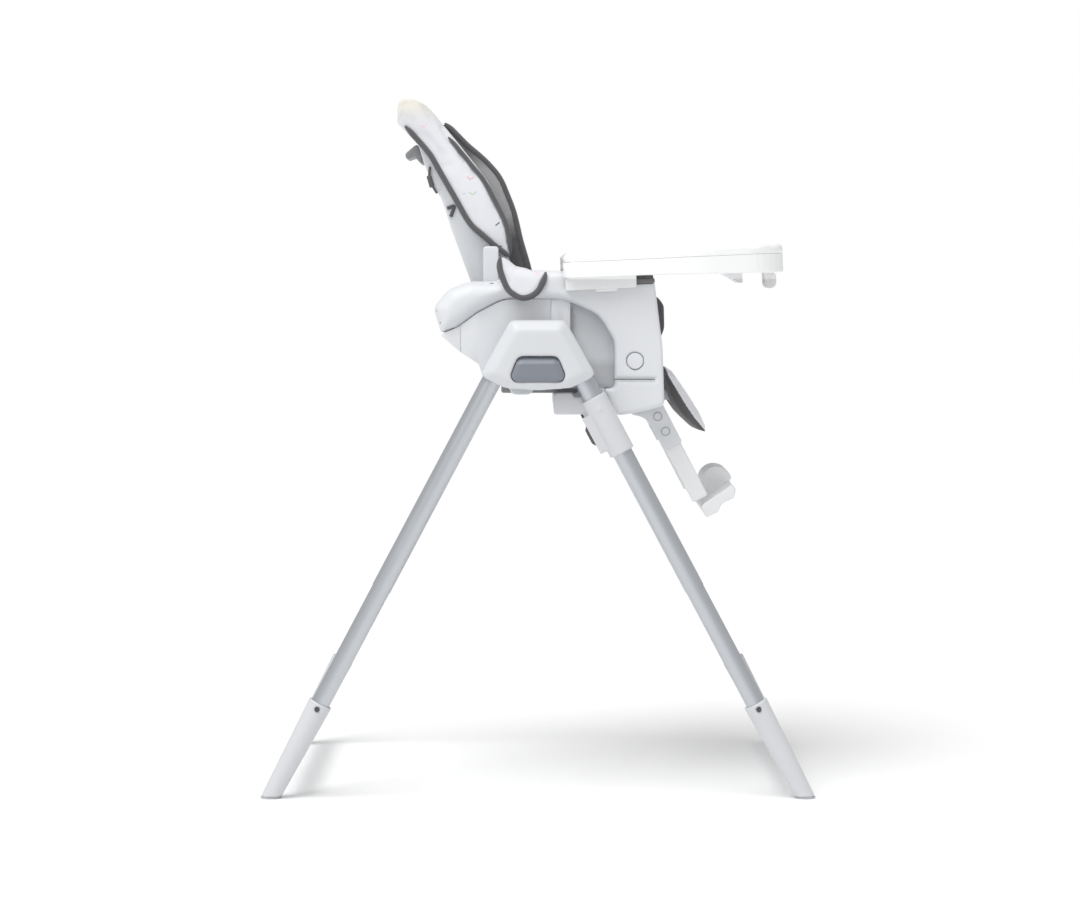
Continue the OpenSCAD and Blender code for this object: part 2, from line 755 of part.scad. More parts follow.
legrest_button();  // legrest_button_left
right_hand() legrest_button();  // legrest_button_right
backrest_shell();
back_pad();
back_insert();
shoulder_straps();
recline_handle();
legrest_frame();
calf_board();
calf_pad();
footrest();
tray_base();
tray_top();
tray_latch();
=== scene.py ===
import json
import math
from contextlib import contextmanager

import bmesh
import bpy
import numpy as np
from mathutils import Matrix, Vector
from mathutils.bvhtree import BVHTree


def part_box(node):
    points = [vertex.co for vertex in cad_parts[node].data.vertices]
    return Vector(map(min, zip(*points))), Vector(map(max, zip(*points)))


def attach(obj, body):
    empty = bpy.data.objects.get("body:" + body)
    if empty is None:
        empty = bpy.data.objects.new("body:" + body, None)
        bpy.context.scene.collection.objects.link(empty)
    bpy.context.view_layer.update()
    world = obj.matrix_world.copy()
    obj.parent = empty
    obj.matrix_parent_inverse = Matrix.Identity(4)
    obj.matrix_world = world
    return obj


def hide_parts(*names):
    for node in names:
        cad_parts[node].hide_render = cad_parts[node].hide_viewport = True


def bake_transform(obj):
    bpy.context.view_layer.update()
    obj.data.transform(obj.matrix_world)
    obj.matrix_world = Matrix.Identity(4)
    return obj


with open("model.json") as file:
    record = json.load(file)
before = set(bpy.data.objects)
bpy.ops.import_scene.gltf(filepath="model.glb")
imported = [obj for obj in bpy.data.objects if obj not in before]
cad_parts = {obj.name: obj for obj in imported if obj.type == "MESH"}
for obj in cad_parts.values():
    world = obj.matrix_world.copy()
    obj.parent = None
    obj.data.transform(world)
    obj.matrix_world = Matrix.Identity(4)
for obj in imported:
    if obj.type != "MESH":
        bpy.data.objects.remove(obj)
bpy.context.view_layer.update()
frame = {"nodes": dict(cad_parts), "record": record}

SIDES = {"left": 1, "right": -1}
JOINTS = {j["name"]: j for j in frame["record"]["behaviour"]["joints"]}


# ---- materials ---------------------------------------------------------------------------

def node(tree, kind, inputs=None, **settings):
    """A shader node; inputs are values or sockets to link."""
    made = tree.nodes.new("ShaderNode" + kind)
    for name, value in settings.items():
        setattr(made, name, value)
    for name, value in (inputs or {}).items():
        if isinstance(value, bpy.types.NodeSocket):
            tree.links.new(value, made.inputs[name])
        else:
            made.inputs[name].default_value = value
    return made


def calc(tree, operation, a, b=0.0, c=0.0):
    return node(tree, "Math", {0: a, 1: b, 2: c}, operation=operation).outputs[0]


def blend_colour(tree, factor, a, b):
    made = node(tree, "Mix", data_type="RGBA")
    for index, value in ((0, factor), (6, a), (7, b)):
        if isinstance(value, bpy.types.NodeSocket):
            tree.links.new(value, made.inputs[index])
        else:
            made.inputs[index].default_value = value
    return made.outputs[2]


def ramp(tree, value, low, high, to_low=0.0, to_high=1.0):
    """value taken from low..high to to_low..to_high, held at the ends."""
    return node(tree, "MapRange", {"Value": value, "From Min": low, "From Max": high,
                                   "To Min": to_low, "To Max": to_high}).outputs["Result"]


def noise(tree, place, scale, detail=2.0, rough=0.5):
    made = node(tree, "TexNoise", {"Vector": place, "Scale": scale, "Detail": detail,
                                   "Roughness": rough})
    return made.outputs["Fac"]


def new_material(name):
    made = bpy.data.materials.new(name)
    made.use_nodes = True
    tree = made.node_tree
    shader = tree.nodes["Principled BSDF"]
    place = node(tree, "TexCoord").outputs["Object"]
    return made, tree, shader, place


def link(tree, out, shader, name):
    tree.links.new(out, shader.inputs[name])


def rgba(colour, scale=1.0):
    return (colour[0] * scale, colour[1] * scale, colour[2] * scale, 1.0)


def bump(tree, shader, height, strength, distance):
    made = node(tree, "Bump", {"Height": height, "Strength": strength, "Distance": distance})
    link(tree, made.outputs[0], shader, "Normal")


def edge_wear(tree, colour, lighter):
    """Lightens the ridges a little, where handling rubs the surface."""
    ridge = ramp(tree, node(tree, "NewGeometry").outputs["Pointiness"], 0.52, 0.62, 0.0, 0.5)
    return blend_colour(tree, ridge, colour, rgba(lighter))


def plastic(name, colour, rough=0.45, grain=0.12, coat=0.0, wear=True):
    """Moulded plastic: fine spark-eroded grain, faint cloudiness, rubbed edges."""
    made, tree, shader, place = new_material(name)
    broad = noise(tree, place, 7.0, 3.0)
    fine = noise(tree, place, 1500.0, 2.0)
    base = blend_colour(tree, broad, rgba(colour, 0.965), rgba(colour, 1.02))
    if wear:
        base = edge_wear(tree, base, [min(1.0, c * 1.12) for c in colour])
    link(tree, base, shader, "Base Color")
    gloss = calc(tree, "ADD", ramp(tree, broad, 0.3, 0.7, rough - 0.05, rough + 0.05),
                 calc(tree, "MULTIPLY", fine, 0.06))
    link(tree, gloss, shader, "Roughness")
    bump(tree, shader, fine, grain, 0.0002)
    shader.inputs["Coat Weight"].default_value = coat
    shader.inputs["Coat Roughness"].default_value = 0.2
    return made


def coated_metal(name, colour, rough=0.36, metallic=0.55):
    """Powder-coated steel tube: metal flake and a faint drawn grain."""
    made, tree, shader, place = new_material(name)
    flake = noise(tree, place, 2600.0, 1.0)
    broad = noise(tree, place, 12.0, 3.0)
    base = blend_colour(tree, flake, rgba(colour, 0.93), rgba(colour, 1.07))
    link(tree, base, shader, "Base Color")
    link(tree, ramp(tree, broad, 0.2, 0.8, rough - 0.02, rough + 0.04), shader, "Roughness")
    shader.inputs["Metallic"].default_value = metallic
    bump(tree, shader, flake, 0.06, 0.0001)
    return made


def flat_place(tree):
    """Coordinates in the plane that the surface faces most: no stretched weave on any side."""
    normal = node(tree, "VectorTransform",
                  {"Vector": node(tree, "NewGeometry").outputs["Normal"]},
                  vector_type="NORMAL", convert_from="WORLD", convert_to="OBJECT").outputs[0]
    n = node(tree, "SeparateXYZ", {0: normal}).outputs
    size = [calc(tree, "ABSOLUTE", n[k]) for k in range(3)]
    faces_x = calc(tree, "MULTIPLY", calc(tree, "GREATER_THAN", size[0], size[1]),
                   calc(tree, "GREATER_THAN", size[0], size[2]))
    faces_z = calc(tree, "MULTIPLY", calc(tree, "GREATER_THAN", size[2], size[1]),
                   calc(tree, "SUBTRACT", 1.0, faces_x))

    def flatten(vector):
        p = node(tree, "SeparateXYZ", {0: vector}).outputs
        across = node(tree, "Mix", {0: faces_x, 2: p[0], 3: p[1]}).outputs[0]
        upward = node(tree, "Mix", {0: faces_z, 2: p[2], 3: p[1]}).outputs[0]
        return across, upward
    return flatten


def weave(tree, u, v, thread):
    """Height of a plain weave whose threads are that far apart."""
    turn = math.pi / thread
    warp = calc(tree, "ABSOLUTE", calc(tree, "SINE", calc(tree, "MULTIPLY", u, turn)))
    weft = calc(tree, "ABSOLUTE", calc(tree, "SINE", calc(tree, "MULTIPLY", v, turn)))
    over = calc(tree, "GREATER_THAN", calc(tree, "MULTIPLY",
                calc(tree, "SINE", calc(tree, "MULTIPLY", u, turn)),
                calc(tree, "SINE", calc(tree, "MULTIPLY", v, turn))), 0.0)
    return node(tree, "Mix", {0: over, 2: warp, 3: weft}).outputs[0]


def cloth(name, colour, contrast=0.12, thread=0.0011, sheen=0.25, print_marks=False, depth=0.5):
    """Woven fabric with heathered threads, and sparse printed marks where asked."""
    made, tree, shader, place = new_material(name)
    flatten = flat_place(tree)
    u, v = flatten(place)
    height = weave(tree, u, v, thread)
    heather = noise(tree, place, 420.0, 2.0)
    broad = noise(tree, place, 6.0, 2.0)
    mixed = calc(tree, "ADD", calc(tree, "MULTIPLY", height, 0.5), calc(tree, "MULTIPLY", heather, 0.5))
    base = blend_colour(tree, mixed, rgba(colour, 1.0 - contrast), rgba(colour, 1.0 + contrast * 0.5))
    base = blend_colour(tree, ramp(tree, broad, 0.35, 0.65, 0.0, 0.25), base, rgba(colour, 0.94))
    if print_marks:
        base = confetti(tree, place, flatten, base)
    link(tree, base, shader, "Base Color")
    shader.inputs["Roughness"].default_value = 0.85
    shader.inputs["Sheen Weight"].default_value = sheen
    shader.inputs["Sheen Roughness"].default_value = 0.5
    wrinkle = noise(tree, place, 45.0, 3.0)
    bump(tree, shader, calc(tree, "ADD", height, calc(tree, "MULTIPLY", wrinkle, 1.5)), depth, 0.0004)
    return made


MARK_COLOURS = [(0.02, 0.03, 0.07), (0.85, 0.36, 0.38), (0.42, 0.62, 0.47), (0.50, 0.68, 0.82),
                (0.93, 0.56, 0.60), (0.03, 0.05, 0.10), (0.88, 0.45, 0.40), (0.66, 0.80, 0.88)]


def confetti(tree, place, flatten, base):
    """Scatters short strokes, chevrons and dots, one at most in each cell of the surface."""
    spacing = 0.025
    cells = node(tree, "TexVoronoi", {"Vector": place, "Scale": 1.0 / spacing, "Randomness": 0.85})
    centre = cells.outputs["Position"]
    apart = node(tree, "VectorMath", {0: place, 1: centre}, operation="SUBTRACT").outputs[0]
    across, upward = flatten(apart)
    chance = node(tree, "SeparateColor", {0: cells.outputs["Color"]}).outputs
    angle = calc(tree, "MULTIPLY", chance[0], 2 * math.pi)
    cos, sin = calc(tree, "COSINE", angle), calc(tree, "SINE", angle)
    u = calc(tree, "ADD", calc(tree, "MULTIPLY", across, cos), calc(tree, "MULTIPLY", upward, sin))
    v = calc(tree, "SUBTRACT", calc(tree, "MULTIPLY", upward, cos), calc(tree, "MULTIPLY", across, sin))
    chevron = calc(tree, "GREATER_THAN", chance[1], 0.55)
    bent = calc(tree, "SUBTRACT", v, calc(tree, "MULTIPLY", calc(tree, "MULTIPLY",
                calc(tree, "ABSOLUTE", u), 0.8), chevron))
    length = calc(tree, "ADD", 0.0026, calc(tree, "MULTIPLY", chance[1], 0.0030))
    inside = calc(tree, "MULTIPLY",
                  ramp(tree, calc(tree, "ABSOLUTE", bent), 0.0008, 0.0013, 1.0, 0.0),
                  ramp(tree, calc(tree, "SUBTRACT", calc(tree, "ABSOLUTE", u), length),
                       0.0, 0.0004, 1.0, 0.0))
    shown = calc(tree, "MULTIPLY", inside, calc(tree, "GREATER_THAN", chance[2], 0.42))
    colours = node(tree, "ValToRGB", {0: ramp(tree, chance[2], 0.42, 1.0)})
    colours.color_ramp.interpolation = "CONSTANT"
    stops = colours.color_ramp.elements
    stops[0].position, stops[0].color = 0.0, rgba(MARK_COLOURS[0])
    stops[1].position, stops[1].color = 1 / len(MARK_COLOURS), rgba(MARK_COLOURS[1])
    for k, colour in enumerate(MARK_COLOURS[2:], start=2):
        stops.new(k / len(MARK_COLOURS)).color = rgba(colour)
    return blend_colour(tree, calc(tree, "MULTIPLY", shown, 0.85), base, colours.outputs[0])


def webbing(name, colour):
    """Flat woven strap: ribs across it and a heathered thread."""
    made, tree, shader, place = new_material(name)
    ribs = node(tree, "TexWave", {"Vector": place, "Scale": 260.0, "Distortion": 0.4},
                bands_direction="DIAGONAL").outputs["Fac"]
    thread = noise(tree, place, 700.0, 2.0)
    base = blend_colour(tree, thread, rgba(colour, 0.75), rgba(colour, 1.35))
    link(tree, base, shader, "Base Color")
    shader.inputs["Roughness"].default_value = 0.8
    shader.inputs["Sheen Weight"].default_value = 0.2
    bump(tree, shader, calc(tree, "ADD", ribs, calc(tree, "MULTIPLY", thread, 0.5)), 0.6, 0.0005)
    return made


def recoloured(made, colour_at):
    """Lets a material's colour depend on the place; colour_at makes the nodes for it."""
    tree = made.node_tree
    shader = tree.nodes["Principled BSDF"]
    surface = shader.inputs["Base Color"].links[0].from_socket
    place = node(tree, "TexCoord").outputs["Object"]
    along = node(tree, "SeparateXYZ", {0: place}).outputs
    link(tree, colour_at(tree, surface, place, along), shader, "Base Color")
    return made


def side_panel_plastic(name, colour, recess):
    """The side panel's plastic, with painted shade in the recess in front of its step, darker towards the
    bottom.
    """
    def colour_at(tree, surface, place, along):
        in_shaded_recess = calc(tree, "GREATER_THAN", along[0], RECESS_FROM)
        lower = ramp(tree, along[2], *RECESS_SHADE)
        return blend_colour(tree, in_shaded_recess, surface,
                            blend_colour(tree, lower, rgba(recess), rgba(recess, 0.76)))
    return recoloured(plastic(name, colour, 0.42, wear=False), colour_at)


def insert_fabric(name):
    """The dark insert's fabric, with a painted highlight as a lighter strip along the upper part of each
    side.
    """
    def colour_at(tree, surface, place, along):
        height = calc(tree, "ADD", along[2], calc(tree, "MULTIPLY", noise(tree, place, 40.0), 0.010))
        painted_highlight = calc(tree, "MULTIPLY", ramp(tree, height, *HIGHLIGHT_LOW), ramp(tree, height, *HIGHLIGHT_HIGH))
        out = ramp(tree, calc(tree, "ABSOLUTE", along[1]), *HIGHLIGHT_OUT)
        return blend_colour(tree, calc(tree, "MULTIPLY", painted_highlight, out), surface, rgba((0.36, 0.355, 0.36)))
    return recoloured(cloth(name, (0.115, 0.11, 0.115), 0.45, 0.0013, 0.3), colour_at)


def tray_plastic(name, colour):
    """The tray's glossy plastic, with painted shade making it a little greyer on the guides under it."""
    def colour_at(tree, surface, place, along):
        return blend_colour(tree, ramp(tree, along[2], *GUIDE_SHADE), surface, rgba(colour, 0.80))
    return recoloured(plastic(name, colour, 0.28, 0.05, 0.3, wear=False), colour_at)


def rail_plastic(name, colour):
    """The tray rails' plastic, with a painted shadow making it dark on the plate at their front ends."""
    def colour_at(tree, surface, place, along):
        return blend_colour(tree, ramp(tree, along[0], *RAIL_END_SHADOW), surface, rgba((0.13, 0.13, 0.133)))
    return recoloured(plastic(name, colour, 0.42, wear=False), colour_at)


def capped_fabric(name, colour):
    """The printed fabric, turning to plain cream over the top of the back."""
    def colour_at(tree, surface, place, along):
        height = calc(tree, "ADD", along[2], calc(tree, "MULTIPLY", noise(tree, place, 30.0), 0.006))
        return blend_colour(tree, ramp(tree, height, *CREAM_FROM), surface, rgba((0.80, 0.77, 0.70)))
    return recoloured(cloth(name, colour, 0.06, print_marks=True), colour_at)


# Where a piece's colour starts to change, and where it has changed: forward along it.
# Painted shade fills the side panel's recess from here forward.
RECESS_FROM = 0.0485
# A painted shadow darkens the rails' front plates from here forward.
RAIL_END_SHADOW = (0.1440, 0.1445)
# Outward from the middle of the chair.
# The insert's painted highlight lies this far out from the middle.
HIGHLIGHT_OUT = (0.108, 0.114)
# At heights above the floor.
# The recess's painted shade deepens downward between these heights.
RECESS_SHADE = (0.665, 0.650)
# The insert's painted highlight strip, its lower and upper ends.
HIGHLIGHT_LOW, HIGHLIGHT_HIGH = (0.850, 0.885), (0.985, 0.955)
# Painted shade on the tray's guides, below the tray.
GUIDE_SHADE = (0.7845, 0.7825)
CREAM_FROM = (1.030, 1.052)

CASING_WHITE = (0.70, 0.715, 0.74)
PRINT_GROUND = (0.80, 0.81, 0.845)
MATERIALS = {
    "leg_tube": coated_metal("leg_tube", (0.53, 0.55, 0.58), 0.36, 0.88),
    "pin_steel": coated_metal("pin_steel", (0.50, 0.51, 0.52), 0.3, 0.9),
    "screw_steel": coated_metal("screw_steel", (0.10, 0.10, 0.11), 0.4, 0.8),
    "sole_rubber": plastic("sole_rubber", (0.42, 0.43, 0.44), 0.8, 0.3),
    "foot_plastic": plastic("foot_plastic", (0.61, 0.62, 0.64), 0.45),
    "hub_plastic": plastic("hub_plastic", (0.645, 0.66, 0.685), 0.38, 0.10),
    "button_grey": plastic("button_grey", (0.207, 0.222, 0.258), 0.35, 0.10),
    "seat_plastic": plastic("seat_plastic", CASING_WHITE, 0.42),
    # The side panel's second colour is painted shade for its recess.
    "panel_plastic": side_panel_plastic("panel_plastic", (0.71, 0.725, 0.75), (0.63, 0.645, 0.67)),
    "handle_grey": plastic("handle_grey", (0.25, 0.255, 0.26), 0.45),
    "shell_plastic": plastic("shell_plastic", (0.66, 0.675, 0.70), 0.42),
    "dark_plastic": plastic("dark_plastic", (0.09, 0.09, 0.095), 0.5),
    "footrest_plastic": plastic("footrest_plastic", (0.78, 0.79, 0.80), 0.45),
    "tray_plastic": tray_plastic("tray_plastic", (0.93, 0.935, 0.94)),
    "rail_plastic": rail_plastic("rail_plastic", CASING_WHITE),
    "printed_fabric": cloth("printed_fabric", PRINT_GROUND, 0.06, print_marks=True),
    "back_fabric": capped_fabric("back_fabric", PRINT_GROUND),
    "insert_fabric": insert_fabric("insert_fabric"),
    "dark_fabric": cloth("dark_fabric", (0.105, 0.10, 0.105), 0.45, 0.0013, 0.3),
    "piping": cloth("piping", (0.105, 0.104, 0.112), 0.4, 0.0009, 0.3),
    "webbing": webbing("webbing", (0.045, 0.045, 0.05)),
}
SLOT_OF = {s["node"]: s["material_slot"] for s in frame["record"]["subparts"]}
BODY_OF = {n: body for body, nodes in frame["record"]["behaviour"]["bodies"].items() for n in nodes}


# ---- mesh helpers ------------------------------------------------------------------------

def new_object(name, mesh):
    made = bpy.data.objects.new(name, mesh)
    bpy.context.scene.collection.objects.link(made)
    return made


@contextmanager
def opened(mesh):
    """A mesh opened for editing, written back at the end."""
    bm = bmesh.new()
    bm.from_mesh(mesh)
    yield bm
    bm.to_mesh(mesh)
    bm.free()


def copy_node(name, node_name):
    """A welded copy of a CAD node's mesh, to be reworked as a piece of its own."""
    bm = bmesh.new()
    bm.from_mesh(frame["nodes"][node_name].data)
    bmesh.ops.remove_doubles(bm, verts=bm.verts, dist=1e-6)
    mesh = bpy.data.meshes.new(name)
    bm.to_mesh(mesh)
    bm.free()
    return new_object(name, mesh)


def from_faces(name, points, faces):
    mesh = bpy.data.meshes.new(name)
    mesh.from_pydata([tuple(map(float, p)) for p in points], [], faces)
    mesh.validate()
    with opened(mesh) as bm:
        bmesh.ops.recalc_face_normals(bm, faces=bm.faces)
    return new_object(name, mesh)


def settle(obj):
    """Applies every modifier."""
    bpy.context.view_layer.update()
    graph = bpy.context.evaluated_depsgraph_get()
    mesh = bpy.data.meshes.new_from_object(obj.evaluated_get(graph))
    obj.modifiers.clear()
    obj.data = mesh
    return obj


def remesh(obj, voxel, smooth=0, factor=0.5):
    made = obj.modifiers.new("remesh", "REMESH")
    made.mode = "VOXEL"
    made.voxel_size = voxel
    if smooth:
        soften = obj.modifiers.new("soften", "SMOOTH")
        soften.factor = factor
        soften.iterations = smooth
    return settle(obj)


def coords(obj):
    flat = np.empty(len(obj.data.vertices) * 3)
    obj.data.vertices.foreach_get("co", flat)
    return flat.reshape(-1, 3)


def set_coords(obj, points):
    obj.data.vertices.foreach_set("co", points.ravel())
    obj.data.update()


def shade(obj, angle=None):
    for face in obj.data.polygons:
        face.use_smooth = True
    if angle:
        obj.data.set_sharp_from_angle(angle=math.radians(angle))


def finish_piece(obj, body, slot, material=None, replaced=(), smooth_angle=None):
    """Gives a piece its material, the slot's own unless another is named, and its body."""
    shade(obj, smooth_angle)
    if not obj.data.materials:
        obj.data.materials.append(MATERIALS[material or slot])
    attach(obj, body)
    if replaced:
        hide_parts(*replaced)
    return obj


def finish_blend(obj, slot, replaced=()):
    """Gives a soft piece that crosses a joint its material, the slot's own, and bakes its place into its
    mesh.
    """
    shade(obj)
    if not obj.data.materials:
        obj.data.materials.append(MATERIALS[slot])
    if replaced:
        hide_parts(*replaced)
    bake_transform(obj)


def tube(name, points, radius, taper=0):
    """A closed round tube along points; taper is how many points at each end it narrows over."""
    curve = bpy.data.curves.new(name, "CURVE")
    curve.dimensions = "3D"
    curve.bevel_depth = radius
    curve.bevel_resolution = 4
    curve.use_fill_caps = True
    line = curve.splines.new("POLY")
    line.points.add(len(points) - 1)
    for k, (place, point) in enumerate(zip(line.points, points)):
        place.co = (*map(float, point), 1.0)
        near_end = min(k, len(points) - 1 - k)
        place.radius = math.sqrt(min(1.0, (near_end + 0.35) / taper)) if taper else 1.0
    return settle_curve(name, curve)


def settle_curve(name, curve):
    source = bpy.data.objects.new(name + "_curve", curve)
    bpy.context.scene.collection.objects.link(source)
    bpy.context.view_layer.update()
    mesh = bpy.data.meshes.new_from_object(source.evaluated_get(bpy.context.evaluated_depsgraph_get()))
    bpy.data.objects.remove(source)
    return new_object(name, mesh)


def outline(node_name, y):
    """Ordered points of a CAD node's flat face at that y, its longest edge loop."""
    bm = bmesh.new()
    bm.from_mesh(frame["nodes"][node_name].data)
    bmesh.ops.remove_doubles(bm, verts=bm.verts, dist=1e-6)
    flat = {f for f in bm.faces if all(abs(v.co.y - y) < 1e-5 for v in f.verts)}
    ahead = {}
    for face in flat:
        for edge in face.edges:
            if sum(other in flat for other in edge.link_faces) == 1:
                a, b = edge.verts
                ahead.setdefault(a.index, []).append(b.index)
                ahead.setdefault(b.index, []).append(a.index)
    bm.verts.ensure_lookup_table()
    loops, seen = [], set()
    for start in ahead:
        if start in seen:
            continue
        loop, here = [start], start
        seen.add(start)
        while True:
            step = [n for n in ahead[here] if n not in seen]
            if not step:
                break
            here = step[0]
            seen.add(here)
            loop.append(here)
        loops.append([tuple(bm.verts[i].co) for i in loop])
    bm.free()
    return np.array(max(loops, key=lambda loop: np.ptp(np.array(loop)[:, 0])))


def edge_distance(points, loop):
    """Distance in the XZ plane from each point to a closed outline."""
    p = points[:, [0, 2]]
    a = loop[:, [0, 2]]
    b = np.roll(a, -1, axis=0)
    best = np.full(len(p), 1e9)
    for start, end in zip(a, b):
        d = end - start
        t = np.clip(((p - start) @ d) / max(float(d @ d), 1e-12), 0, 1)
        best = np.minimum(best, np.linalg.norm(p - start - t[:, None] * d, axis=1))
    return best


def round_face(obj, loop, face_y, radius, depth=None):
    """Rounds the rim of the face at face_y to a radius, a number or a function of the points."""
    points = coords(obj)
    r = radius(points) if callable(radius) else np.full(len(points), radius)
    depth = depth or float(np.max(r))
    d = np.minimum(edge_distance(points, loop), r)
    drop = r - np.sqrt(np.maximum(r * r - (r - d) ** 2, 0))
    side = math.copysign(1.0, face_y)
    inner = abs(face_y) - depth
    y = points[:, 1] * side
    share = np.clip((y - inner) / depth, 0, None)
    points[:, 1] = np.where(y > inner, (inner + share * (depth - drop)) * side, points[:, 1])
    set_coords(obj, points)


# ---- camera, light and floor ---------------------------------------------------------------

# The camera looks along +Y, level with the tray and tilted a little downward; lens lengths in mm.
CAMERA_PLACE = (0.0, -4.868, 0.79)
CAMERA_TILT = 86.73
LENS, SENSOR, SHIFT = 102.2, 36.0, 0.0019
FLOOR = [(-9, -9, 0), (9, -9, 0), (9, 14, 0), (-9, 14, 0)]


def set_camera():
    camera = bpy.data.objects.new("camera", bpy.data.cameras.new("camera"))
    bpy.context.scene.collection.objects.link(camera)
    camera.location = CAMERA_PLACE
    camera.rotation_euler = (math.radians(CAMERA_TILT), 0, 0)
    camera.data.sensor_width = SENSOR
    camera.data.lens = LENS
    camera.data.shift_x = SHIFT
    bpy.context.scene.camera = camera


def aim_at(obj, direction):
    """Turns a light so that it shines in a direction."""
    obj.rotation_euler = Vector(direction).to_track_quat("-Z", "Y").to_euler()


def area_light(name, place, aim, size, power):
    light = bpy.data.lights.new(name, "AREA")
    light.shape = "DISK"
    light.size = size
    light.energy = power
    made = bpy.data.objects.new(name, light)
    bpy.context.scene.collection.objects.link(made)
    made.location = place
    aim_at(made, Vector(aim) - Vector(place))


def soft_world():
    """Even light from all round; the camera itself sees plain white."""
    world = bpy.data.worlds.new("studio")
    world.use_nodes = True
    tree = world.node_tree
    soft = tree.nodes["Background"]
    soft.inputs["Color"].default_value = (1.0, 1.0, 1.0, 1.0)
    soft.inputs["Strength"].default_value = 0.60
    white = node(tree, "Background", {"Color": (1.0, 1.0, 1.0, 1.0), "Strength": 1.0})
    seen = node(tree, "LightPath").outputs["Is Camera Ray"]
    mixed = node(tree, "MixShader", {0: seen, 1: soft.outputs[0], 2: white.outputs[0]})
    tree.links.new(mixed.outputs[0], tree.nodes["World Output"].inputs["Surface"])
    return world


def set_lights():
    scene = bpy.context.scene
    scene.view_settings.view_transform = "Standard"
    scene.world = soft_world()
    sun = bpy.data.objects.new("sun", bpy.data.lights.new("sun", "SUN"))
    scene.collection.objects.link(sun)
    aim_at(sun, (0.28, 0.40, -1.0))
    sun.data.energy = 1.75
    sun.data.angle = math.radians(40)
    area_light("key", (-1.6, -3.2, 3.0), (0.0, 0.0, 0.6), 1.6, 22.0)


def set_floor():
    floor = from_faces("floor", FLOOR, [(0, 1, 2, 3)])
    material, tree, shader, place = new_material("pale_floor")
    tone = noise(tree, place, 3.0, 2.0)
    link(tree, blend_colour(tree, tone, rgba((0.955, 0.955, 0.955)), rgba((0.97, 0.97, 0.97))), shader,
         "Base Color")
    shader.inputs["Roughness"].default_value = 0.9
    floor.data.materials.append(material)


set_camera()
set_lights()
set_floor()


# ---- hard pieces -------------------------------------------------------------------------

def dress_cad():
    """Every CAD node that stays shown gets its slot's material."""
    for name, obj in frame["nodes"].items():
        obj.data.materials.clear()
        obj.data.materials.append(MATERIALS[SLOT_OF[name]])


def moulded(node_name, voxel=0.0015, smooth=4, rim=None, material=None):
    """A moulded copy of a CAD node: every edge rounded as an injection moulding's is."""
    obj = copy_node(node_name + "_moulding", node_name)
    remesh(obj, voxel)
    if rim:
        face_y, loop, radius = rim
        round_face(obj, loop, face_y, radius)
    remesh(obj, voxel * 0.98, smooth)
    return finish_piece(obj, BODY_OF[node_name], SLOT_OF[node_name], material, [node_name])


def sharp_copy(node_name, chosen=None):
    """A copy of a CAD node with flat faces joined, and its chosen edges marked for a wide bevel."""
    obj = copy_node(node_name + "_moulding", node_name)
    with opened(obj.data) as bm:
        bmesh.ops.dissolve_limit(bm, angle_limit=math.radians(0.5), verts=bm.verts, edges=bm.edges)
        if chosen:
            weight = bm.edges.layers.float.new("bevel_weight_edge")
            for edge in bm.edges:
                if edge.is_convex and edge.calc_face_angle(0) > RIM_ANGLE and chosen(edge):
                    edge[weight] = 1.0
    return obj


def add_bevel(obj, width, segments, method="ANGLE"):
    bevel = obj.modifiers.new("bevel", "BEVEL")
    bevel.width = width
    bevel.segments = segments
    bevel.limit_method = method
    bevel.angle_limit = math.radians(35)
    bevel.use_clamp_overlap = method == "ANGLE"
    bevel.harden_normals = True


def bevelled(node_name, width=0.0008, material=None):
    """A copy of a CAD node with its real edges, each broken by a small bevel."""
    obj = sharp_copy(node_name)
    add_bevel(obj, width, 3)
    settle(obj)
    return finish_piece(obj, BODY_OF[node_name], SLOT_OF[node_name], material, [node_name], 40)


def rimmed(node_name, chosen, width, small=0.0003):
    """A copy of a CAD node with a wide round rim on the chosen edges and a small bevel on the rest."""
    obj = sharp_copy(node_name, chosen)
    add_bevel(obj, width, 6, "WEIGHT")
    add_bevel(obj, small, 2)
    settle(obj)
    finish_piece(obj, BODY_OF[node_name], SLOT_OF[node_name], None, [node_name], 40)
    for face in obj.data.polygons:
        face.use_smooth = face.area < BROAD_FACE


def tray_heights(edge):
    """How high an edge of the tray is, square to the tray's tilted plane."""
    return [vert.co.dot(TRAY_UP) for vert in edge.verts]


def top_rim(edge):
    return min(tray_heights(edge)) > TRAY_TOP - 0.0003


def bottom_rim(edge):
    """An edge where the base's underside meets its outer wall."""
    faces = sorted(edge.link_faces, key=lambda face: face.normal.dot(TRAY_UP))
    middle = (edge.verts[0].co + edge.verts[1].co) / 2
    outward = middle - (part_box("tray_base")[0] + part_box("tray_base")[1]) / 2
    level, upright = faces[0].normal, faces[-1].normal
    shallow, deep = TRAY_DEPTHS
    return (level.dot(TRAY_UP) < -0.9 and abs(upright.dot(TRAY_UP)) < 0.3 and upright.dot(outward) > 0
            and max(tray_heights(edge)) < TRAY_TOP - shallow and min(tray_heights(edge)) > TRAY_TOP - deep)


def outer_face(node_name, sign):
    return sign * max(abs(corner[1]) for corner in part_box(node_name))


def casing_radius(points):
    """The armrest is fat and round at the back and nearly square-edged at the front."""
    return np.interp(points[:, 0], ARMREST_FROM_TO, ARMREST_RADII)


def press_ridge(obj):
    """The fold button's upper part slopes away above a crease."""
    points = coords(obj)
    proud = np.abs(points[:, 1]) > BUTTON_PROUD
    drop = np.maximum(points[:, 2] - BUTTON_CREASE, 0) * BUTTON_SLOPE
    points[:, 1] -= np.where(proud, np.sign(points[:, 1]) * drop, 0)
    set_coords(obj, points)


def seam(name, points, body, radius=0.0007):
    """A thin dark joint line between two mouldings, half sunk into the surface."""
    return finish_piece(tube(name, points, radius), body, "dark_plastic")


